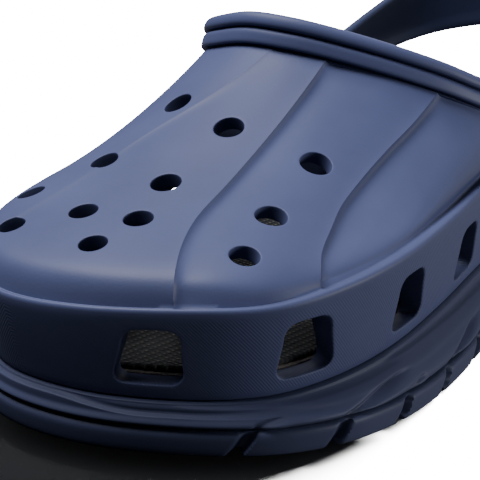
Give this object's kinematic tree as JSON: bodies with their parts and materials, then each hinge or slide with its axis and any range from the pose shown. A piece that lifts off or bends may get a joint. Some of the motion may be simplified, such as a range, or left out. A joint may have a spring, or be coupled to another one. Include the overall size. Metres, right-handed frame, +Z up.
{
  "type": "garden clog",
  "caption": "Moulded foam garden clog with a vented band, a perforated vamp, a treaded sole and a swinging heel strap.",
  "frame": {"origin": "on the floor under the shoe, on the flat of the outsole, midway along the band", "axes": "+Z up from the floor, -Y towards the toe, +X towards the outer side of the left foot"},
  "size_m": [0.116, 0.2938, 0.0982],
  "materials": {
    "upper_foam": "satin",
    "sole_foam": "satin",
    "footbed_foam": "matte",
    "footbed_cloth": "matte",
    "strap_foam": "satin",
    "rivet_plastic": "satin"
  },
  "bodies": {
    "shoe": {"outsole": "sole_foam", "midsole": "sole_foam", "upper": "upper_foam", "insole_foam": "footbed_foam", "insole_cover": "footbed_cloth", "rivet_button_outer": "rivet_plastic", "rivet_cap_outer": "rivet_plastic", "rivet_button_inner": "rivet_plastic", "rivet_cap_inner": "rivet_plastic"},
    "strap": {"heel_strap": "strap_foam"}
  },
  "joints": [
    {"name": "strap_swing", "type": "hinge", "parent": "shoe", "child": "strap", "pos_m": [0, 0.036, 0.058], "axis": [1, 0, 0], "range_deg": [-4, 148]}
  ]
}
